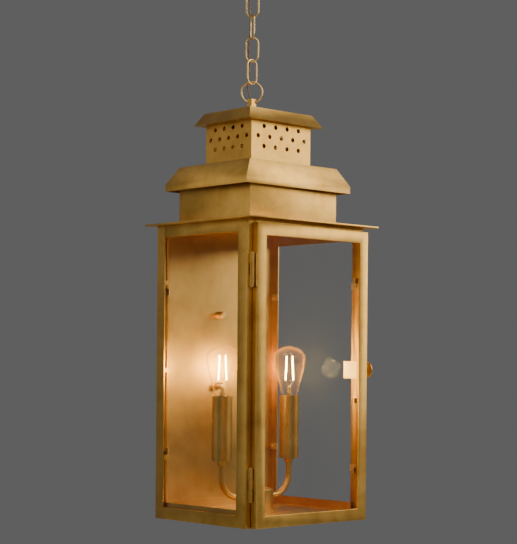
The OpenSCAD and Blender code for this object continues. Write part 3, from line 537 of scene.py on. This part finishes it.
@dataclass
class CandleLamp:
    """One lit bulb: its glass, the glass mount inside and two glowing filaments."""

    side: str
    place_x: float
    place_y: float = -13.0
    mouth_z: float = -540.3
    widest: float = 20.0
    height: float = 61.5
    wall: float = 0.8
    outline: tuple[tuple[float, float], ...] = (
        (0.57, 0.14), (0.69, 0.28), (0.80, 0.40), (0.90, 0.52), (0.975, 0.64), (1.0, 0.73),
        (0.97, 0.80), (0.87, 0.865), (0.70, 0.92), (0.48, 0.96), (0.24, 0.988), (0.08, 1.0))
    turns: int = 72
    turn: float = math.radians(-42.6)
    strand_low: float = 19.0
    strand_high: float = 49.0
    spread_low: float = 4.9
    spread_high: float = 3.6
    joined: float = 53.5
    mount_top: float = 11.0
    wire: float = 0.32
    power: float = 0.44
    warmth: Colour = (1.0, 0.68, 0.22)
    glow_height: float = 34.0
    glow_size: float = 12.0

    def profile(self, inset: float) -> np.ndarray:
        """Bulb outline as radius and height, set in by the wall's thickness.

        The outline runs through listed points, and a cubic curve joins them.

        Args:
            inset: how far inside the outer skin.

        Returns:
            Array (n, 2), from the neck to the crown.
        """
        r, h = self.widest, self.height
        neck = [(6.6, -9.0), (7.4, -6.5), (8.6, -2.5), (9.6, 1.0)]
        swell = [(r * across, h * up) for across, up in self.outline]
        tip = [(1.1, h + 0.5), (0.5, h + 1.15), (0.0, h + 1.2)]
        knots = np.array([(*point, 0.0) for point in (*neck, *swell, *tip)])
        curve = Surface.spline(knots, 5)[:, :2]
        curve[:, 0] = np.clip(curve[:, 0] - inset, 0.0, None)
        curve[:, 1] -= inset * np.clip((curve[:, 1] - h * 0.7) / (h * 0.3), 0.0, 1.0)
        return curve

    def glass(self, bench: Workbench, looks: Finishes) -> None:
        """Blown glass with an inner and an outer skin."""
        outer, inner = self.profile(0.0), self.profile(self.wall)[::-1]
        whole = np.vstack([outer, inner, outer[:1]])
        whole[:, 1] += self.mouth_z
        grid = Surface.grid(Surface.revolve(whole, (self.place_x, self.place_y), self.turns))
        bench.piece(f"bulb_{self.side}_glass", [grid], looks.bulb, "lantern",
                    [f"bulb_glass_{self.side}"])

    def mount(self, bench: Workbench, looks: Finishes) -> None:
        """Glass mount: a flared foot, a pressed waist and a small button on top."""
        shape = np.array([[0.0, -8.8], [4.9, -8.8], [4.6, -6.0], [3.6, 0.0], [2.8, 4.0],
                          [2.2, 7.5], [2.6, 9.6], [2.2, 11.4], [1.0, 12.2], [0.0, 12.3]])
        shape[:, 1] += self.mouth_z
        grid = Surface.grid(Surface.revolve(shape, (self.place_x, self.place_y), 32))
        bench.piece(f"bulb_{self.side}_mount", [grid], looks.stem, "lantern")

    def filaments(self, bench: Workbench, looks: Finishes) -> None:
        """Two upright filaments that lean in at the top, on thin support wires."""
        across = np.array([math.cos(self.turn), math.sin(self.turn), 0.0])
        base = np.array([self.place_x, self.place_y, self.mouth_z])
        hot, wires = [], []
        for way in (-1.0, 1.0):
            low = base + across * self.spread_low * way + [0, 0, self.strand_low]
            high = base + across * self.spread_high * way + [0, 0, self.strand_high]
            line = low + (high - low) * np.linspace(0, 1, 25)[:, None]
            swell = 1.0 + 0.15 * np.sin(np.linspace(0, 24 * np.pi, 25))
            hot.append(Surface.grid(Surface.capped(Surface.sweep(line, swell[:, None], 10))))
            foot, crown = base + [0, 0, self.mount_top], base + [0, 0, self.joined]
            for start, end in ((foot, low), (high, crown)):
                bow = start + (end - start) * np.linspace(0, 1, 9)[:, None]
                bow = bow + np.sin(np.linspace(0, np.pi, 9))[:, None] * across * way * 0.7
                tube = Surface.sweep(bow, np.array(self.wire), 8)
                wires.append(Surface.grid(Surface.capped(tube)))
        bench.piece(f"bulb_{self.side}_filaments", hot, looks.filament, "lantern",
                    [f"filament_{self.side}"])
        bench.piece(f"bulb_{self.side}_wires", wires, looks.metals[Metal.PLATE], "lantern")

    def build(self, bench: Workbench, looks: Finishes) -> None:
        """Builds the lamp and its warm light."""
        self.glass(bench, looks)
        self.mount(bench, looks)
        self.filaments(bench, looks)
        lamp = bpy.data.lights.new(f"glow_{self.side}", "POINT")
        lamp.energy = self.power
        lamp.color = self.warmth
        lamp.shadow_soft_size = self.glow_size * MM
        light = bpy.data.objects.new(lamp.name, lamp)
        light.location = (self.place_x * MM, self.place_y * MM,
                          (self.mouth_z + self.glow_height) * MM)
        bpy.context.collection.objects.link(light)


@dataclass
class SupplyCord:
    """Twisted two-core cord that weaves up the chain, in lengths cut at the middle of each link."""

    radius: float = 1.0
    sides: int = 12
    twist: float = 9.0
    route: tuple[Point, ...] = (
        (6, 7.5, -203), (6, 7.5, -198), (6, 7.5, -192), (5.6, 7.1, -185), (4.4, 6.2, -178),
        (2.7, 6, -173.5), (1, 6.1, -169), (-0.6, 6.8, -162), (-0.3, 6.2, -155), (0.6, 5.2, -148),
        (0.4, 5.2, -138), (0, 5, -129.5), (-1.4, 4, -121.5), (-2.7, 2.7, -115.5),
        (-3.8, 1.3, -109.5), (-4.5, -0.3, -102), (-4.4, -0.6, -93), (-4.2, -0.7, -84),
        (-4, -0.6, -75), (-3.3, 0.8, -67.5), (-2.6, 2.4, -61), (-1.4, 3.9, -54.5),
        (-0.1, 4.2, -48), (0.1, 3, -42), (0.1, 1.1, -37), (0, 0, -32), (0, 0, -27), (0, 0, -20),
        (0, 0, -10))
    joints: tuple[tuple[str, str, float], ...] = (
        ("lantern", "ring", -181.1), ("ring", "chain_link_1", -158.1),
        ("chain_link_1", "chain_link_2", -130.7), ("chain_link_2", "chain_link_3", -103.3),
        ("chain_link_3", "chain_link_4", -75.9), ("chain_link_4", "ceiling_mount", -48.7))
    reach: float = 6.5
    cuts: tuple[float, ...] = (-204.0, -168.3, -144.4, -117.0, -89.6, -62.0, -9.0)

    def build(self, bench: Workbench, looks: Finishes) -> None:
        """Builds each length.

        The section is two lobes, radius r (0.86 + 0.14 cos 2(a - w)), where w turns evenly
        along the cord.
        """
        path = Surface.spline(np.array(self.route, dtype=float), 10)
        walk = np.concatenate([[0.0], np.cumsum(np.linalg.norm(np.diff(path, axis=0), axis=1))])
        angle = np.linspace(0.0, 2 * np.pi, self.sides, endpoint=False)[None, :]
        turned = walk[:, None] * 2 * np.pi / self.twist
        lobes = self.radius * (0.86 + 0.14 * np.cos(2 * angle - turned))
        skin = Surface.sweep(path, lobes, self.sides)
        for index, (lower, upper, height) in enumerate(self.joints):
            above = path[:, 2] >= self.cuts[index]
            inside = np.flatnonzero(above & (path[:, 2] <= self.cuts[index + 1]))
            first, last = inside[0], min(inside[-1] + 1, len(path) - 1)
            grid = Surface.grid(Surface.capped(skin[first:last + 1]))
            length = bench.piece(f"cord_length_{index + 1}", [grid], looks.cord, lower,
                                 ["supply_cord"], ride=False)
            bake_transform(length)


@dataclass
class Housing:
    """Finishes for the sheet-metal pieces and the carried-over fittings."""

    folded: tuple[tuple[str, Metal, float], ...] = (
        ("door_frame", Metal.SHEET, 0.4), ("side_frame_left", Metal.SHEET, 0.3),
        ("side_frame_right", Metal.SHEET, 0.3), ("roof_plate", Metal.SHEET, 0.35),
        ("lower_box", Metal.ROOF, 0.3), ("skirt", Metal.ROOF, 0.9), ("cap", Metal.ROOF, 0.5))
    plain: tuple[tuple[Metal, tuple[str, ...]], ...] = (
        # the back and floor pans get the darker brass, painted shade inside the lantern
        (Metal.DARK, ("back_pan", "floor_pan")),
        (Metal.ROOF, ("chimney",)),
        (Metal.SHEET, ("canopy", "front_header", "hub_body", "hub_cover", "lead_tube")),
        (Metal.ROD, ("hanger_stem", "arm_left", "arm_right", "coupling_left", "coupling_right",
                     "sleeve_left", "sleeve_right", "latch_knob", "hinge_leaves_frame",
                     "hinge_leaves_door")),
        (Metal.BRIGHT, ("hanger_loop", "chain_link_1", "chain_link_2", "chain_link_3",
                        "chain_link_4", "top_ring", "wall_screws", "hinge_pins", "door_strike",
                        "latch_cam", "glass_clips", "door_clips", "nipple", "nipple_nut",
                        "stem_nut", "hanger_strap")),
        (Metal.PLATE, ("crossbar", "bulb_base_left", "bulb_base_right")))

    def build(self, bench: Workbench, looks: Finishes) -> None:
        """Dresses each CAD node, and softens the folds of the large sheets."""
        bodies = frame["record"]["behaviour"]["bodies"]
        home = {node: body for body, nodes in bodies.items() for node in nodes}
        for node, metal, edge in self.folded:
            bench.folded(node, looks.metals[metal], home[node], "brass", edge)
        for metal, nodes in self.plain:
            for node in nodes:
                self.dress(node, looks.metals[metal])
        for node in ("side_glass_left", "side_glass_right", "door_glass"):
            self.dress(node, looks.pane)
        for node in ("socket_left", "socket_right", "cord_bushing"):
            self.dress(node, looks.insulator)
        self.dress("inner_lead", looks.lead)

    @staticmethod
    def dress(node: str, material: bpy.types.Material) -> None:
        """Gives a CAD node its finish."""
        mesh = frame["nodes"][node].data
        mesh.materials.clear()
        mesh.materials.append(material)
        LOG.info("%s has finish %s", node, material.name)


@dataclass(frozen=True)
class Softbox:
    """A large rectangular light that faces the lantern, placed in metres from its middle."""

    name: str
    place: Point
    size: tuple[float, float]
    power: float
    colour: Colour

    def hang(self, middle: np.ndarray) -> None:
        """Adds the light to the scene.

        Args:
            middle: the lantern's middle, in metres.
        """
        data = bpy.data.lights.new(self.name, "AREA")
        data.shape = "RECTANGLE"
        data.size, data.size_y = self.size
        data.energy = self.power
        data.color = self.colour
        light = bpy.data.objects.new(self.name, data)
        light.location = tuple(middle + self.place)
        light.rotation_mode = "QUATERNION"
        light.rotation_quaternion = Vector(self.place).to_track_quat("Z", "Y")
        bpy.context.collection.objects.link(light)


@dataclass
class Studio:
    """Camera, lights, floor and background."""

    turn: float = math.radians(42.62)
    distance: float = 1856.6
    aside: float = 1.2
    eye_z: float = -503.0
    body_y: float = -18.0
    lens: float = 100.78
    rise: float = 0.1713
    lean: float = 0.0081
    floor_z: float = -1.75
    floor_radius: float = 7.0
    backdrop: Colour = (0.118, 0.118, 0.12)
    softboxes: tuple[Softbox, ...] = (
        Softbox("key", (1.6, -1.45, 1.1), (1.9, 1.7), 38.0, (1.0, 0.96, 0.90)),
        Softbox("fill", (-1.9, 0.9, 0.9), (1.6, 1.8), 6.0, (1.0, 0.94, 0.86)),
        Softbox("top", (0.1, -0.7, 2.1), (2.4, 2.4), 24.0, (1.0, 0.98, 0.95)),
        Softbox("front", (-1.35, -1.9, 0.9), (1.4, 1.4), 5.0, (1.0, 0.96, 0.92)),
        Softbox("left", (-0.9, 1.9, 1.6), (1.2, 1.2), 1.5, (1.0, 0.94, 0.86)))

    def camera(self) -> None:
        """Eye-level camera in front of the near corner."""
        ahead = np.array([math.sin(self.turn), math.cos(self.turn), 0.0])
        right = np.array([math.cos(self.turn), -math.sin(self.turn), 0.0])
        middle = np.array([0.0, self.body_y, self.eye_z])
        spot = middle - ahead * self.distance - right * self.aside
        data = bpy.data.cameras.new("camera")
        data.lens = self.lens
        data.sensor_width = 36.0
        data.shift_y = self.rise
        data.clip_start, data.clip_end = 0.05, 60.0
        camera = bpy.data.objects.new("camera", data)
        camera.location = tuple(spot * MM)
        cosine, sine = math.cos(self.lean), math.sin(self.lean)
        roll = np.array([[cosine, -sine, 0], [sine, cosine, 0], [0, 0, 1]])
        axes = np.column_stack([right, (0.0, 0.0, 1.0), -ahead]) @ roll
        camera.rotation_mode = "QUATERNION"
        camera.rotation_quaternion = Matrix(axes.tolist()).to_quaternion()
        bpy.context.collection.objects.link(camera)
        bpy.context.scene.camera = camera

    def surroundings(self) -> None:
        """Soft grey background and a plain pale floor well below the lantern."""
        world = bpy.data.worlds.new("studio")
        bpy.context.scene.world = world
        world.use_nodes = True
        back = world.node_tree.nodes["Background"]
        back.inputs["Color"].default_value = (*self.backdrop, 1.0)
        back.inputs["Strength"].default_value = 1.0
        radii = np.linspace(0.0, self.floor_radius, 15)[:, None]
        angle = np.linspace(0.0, 2 * np.pi, 96, endpoint=False)[None, :]
        points = np.stack([radii * np.cos(angle), radii * np.sin(angle),
                           self.floor_z + 0 * radii * angle], axis=-1)
        vertices, quads = Surface.grid(points)
        mesh = bpy.data.meshes.new("floor")
        mesh.from_pydata(vertices.tolist(), [], quads.tolist())
        Workbench.clean(mesh)
        shop = Shop("pale_floor")
        mottle = shop.noise(shop.place(), 3.0, 3.0)
        pale = shop.ramp(mottle, (0.3, (0.66, 0.66, 0.65)), (0.7, (0.72, 0.72, 0.71)))
        shop.surface(Base_Color=pale, Roughness=0.8)
        mesh.materials.append(shop.material)
        floor = bpy.data.objects.new("floor", mesh)
        bpy.context.collection.objects.link(floor)

    def build(self) -> None:
        """Sets up the studio."""
        middle = np.array([0.0, self.body_y * MM, self.eye_z * MM])
        for softbox in self.softboxes:
            softbox.hang(middle)
        self.surroundings()


def main() -> None:
    """Builds everything in order."""
    logging.basicConfig(level=logging.INFO, format="%(name)s: %(message)s")
    studio = Studio()
    studio.camera()
    looks = Finishes()
    bench = Workbench()
    SupplyCord().build(bench, looks)
    for side, place in (("left", -55.5), ("right", 55.5)):
        CandleLamp(side, place).build(bench, looks)
    Housing().build(bench, looks)
    studio.build()
    LOG.info("%d pieces made", len(bench.made))


if __name__ == "__main__":
    main()
